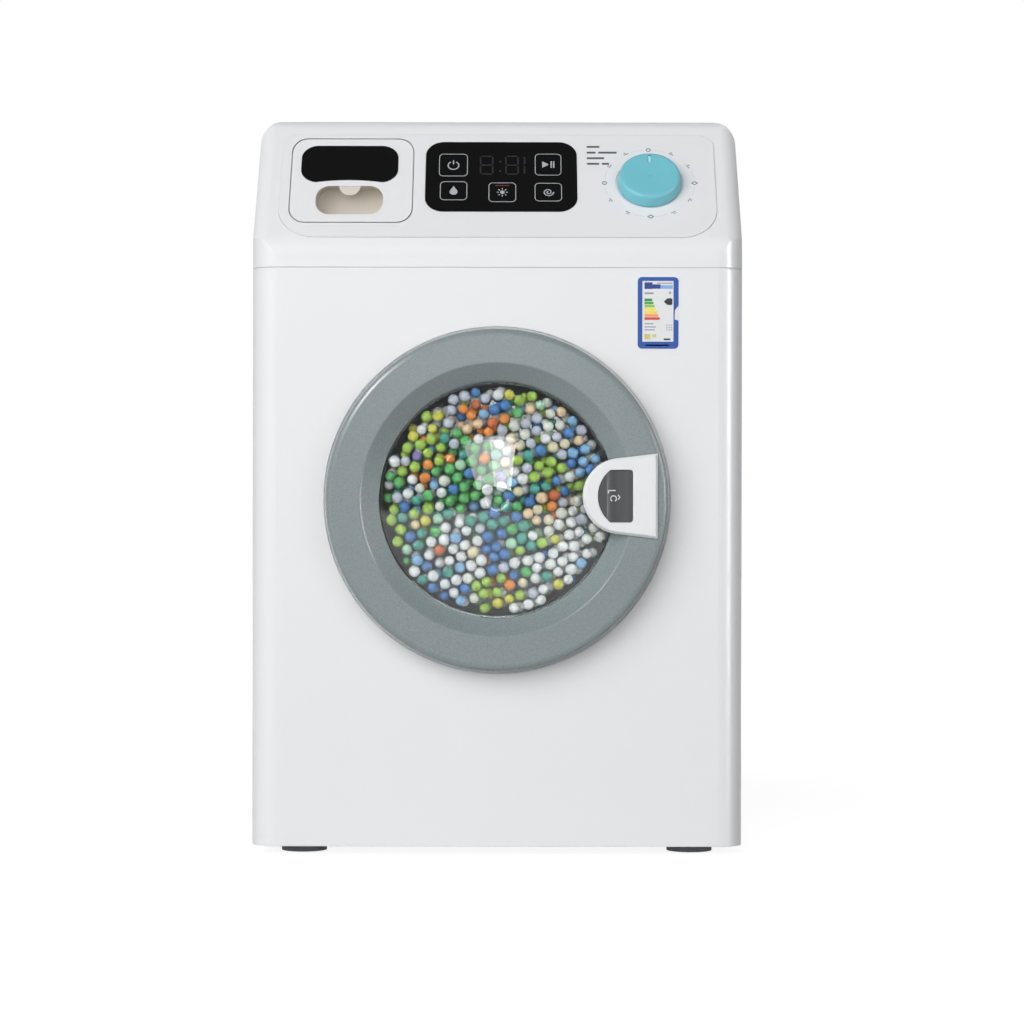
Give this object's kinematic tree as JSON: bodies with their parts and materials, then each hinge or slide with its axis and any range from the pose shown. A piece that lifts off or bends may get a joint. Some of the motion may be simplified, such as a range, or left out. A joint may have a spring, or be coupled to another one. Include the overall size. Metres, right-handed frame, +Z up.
{
  "type": "toy washing machine",
  "caption": "Toy front-loading washing machine with a turning drum, a swinging bead-filled round door, a sloped panel with a dial and touch display, and a sliding drawer.",
  "frame": {"origin": "centre of the footprint, on the surface the feet stand on", "axes": "+X to the right as seen from the front, +Y to the back, +Z up; the door faces -Y"},
  "size_m": [0.1714, 0.15, 0.26],
  "materials": {
    "white_abs": "satin gloss",
    "grey_abs": "satin",
    "turquoise_abs": "gloss",
    "black_acrylic": "high gloss",
    "clear_polystyrene": "clear gloss",
    "foam_bead": "matte foam",
    "dark_abs": "matte",
    "rubber": "matte",
    "paper_label": "coated",
    "plated_steel": "bright plated",
    "drum_plastic": "silver grey",
    "motor_can": "satin",
    "gear_acetal": "natural",
    "brass": "turned",
    "board_laminate": "lacquered",
    "cell_sleeve": "gloss",
    "speaker_black": "matte",
    "conductive_foam": "matte"
  },
  "bodies": {
    "cabinet": {"front_shell": "white_abs", "rear_shell": "white_abs", "control_head": "white_abs", "base_plate": "white_abs", "control_fascia": "white_abs", "drawer_guide": "white_abs", "battery_cover": "white_abs", "latch_keeper": "white_abs", "display_lens": "black_acrylic", "switch_body": "dark_abs", "display_module": "dark_abs", "battery_box": "dark_abs", "feet": "rubber", "door_seal": "rubber", "panel_sticker": "paper_label", "hinge_bracket": "plated_steel", "hinge_pin": "plated_steel", "hinge_screws": "plated_steel", "board_screws": "plated_steel", "gearbox_screws": "plated_steel", "case_screws": "plated_steel", "head_screws": "plated_steel", "battery_cover_screw": "plated_steel", "battery_contacts": "plated_steel", "dial_encoder": "plated_steel", "drive_motor": "motor_can", "gearbox_bracket": "gear_acetal", "drum_bush": "brass", "control_board": "board_laminate", "battery_cells": "cell_sleeve", "speaker": "speaker_black", "touch_pads": "conductive_foam"},
    "door": {"door_ring": "grey_abs", "door_back_ring": "grey_abs", "window_dome": "clear_polystyrene", "window_bowl": "clear_polystyrene", "foam_beads": "foam_bead", "door_handle": "white_abs", "handle_inset": "dark_abs", "door_latch": "grey_abs", "door_screws": "plated_steel"},
    "drum": {"drum_shell": "drum_plastic", "drum_back": "drum_plastic", "drum_lifters": "drum_plastic", "drum_shaft": "plated_steel", "drum_gear": "gear_acetal"},
    "motor_rotor": {"motor_shaft": "plated_steel", "motor_pinion": "brass"},
    "dial": {"dial_knob": "turquoise_abs", "dial_shaft": "plated_steel"},
    "drawer": {"drawer_front": "white_abs", "drawer_tray": "white_abs", "drawer_label": "black_acrylic"},
    "power_switch": {"switch_slider": "dark_abs"}
  },
  "joints": [
    {"name": "door_hinge", "type": "hinge", "parent": "cabinet", "child": "door", "pos_m": [-0.0545, -0.068, 0.1235], "axis": [0, 0, 1], "range_deg": [-90, 0]},
    {"name": "drum_spin", "type": "hinge", "parent": "cabinet", "child": "drum", "pos_m": [0, 0, 0.1235], "axis": [0, -1, 0], "continuous": true},
    {"name": "motor_spin", "type": "hinge", "parent": "cabinet", "child": "motor_rotor", "pos_m": [0, 0, 0.09335], "axis": [0, -1, 0], "continuous": true},
    {"name": "dial_turn", "type": "hinge", "parent": "cabinet", "child": "dial", "pos_m": [0.0536, -0.04642, 0.23541], "axis": [0, -0.809, 0.5878], "continuous": true},
    {"name": "drawer_slide", "type": "slide", "parent": "cabinet", "child": "drawer", "axis": [0, -1, 0], "range_m": [0, 0.032]},
    {"name": "switch_slide", "type": "slide", "parent": "cabinet", "child": "power_switch", "axis": [1, 0, 0], "range_m": [0, 0.004]}
  ],
  "couplings": [
    {"joint": "motor_spin", "follows": "drum_spin", "ratio": -4}
  ]
}
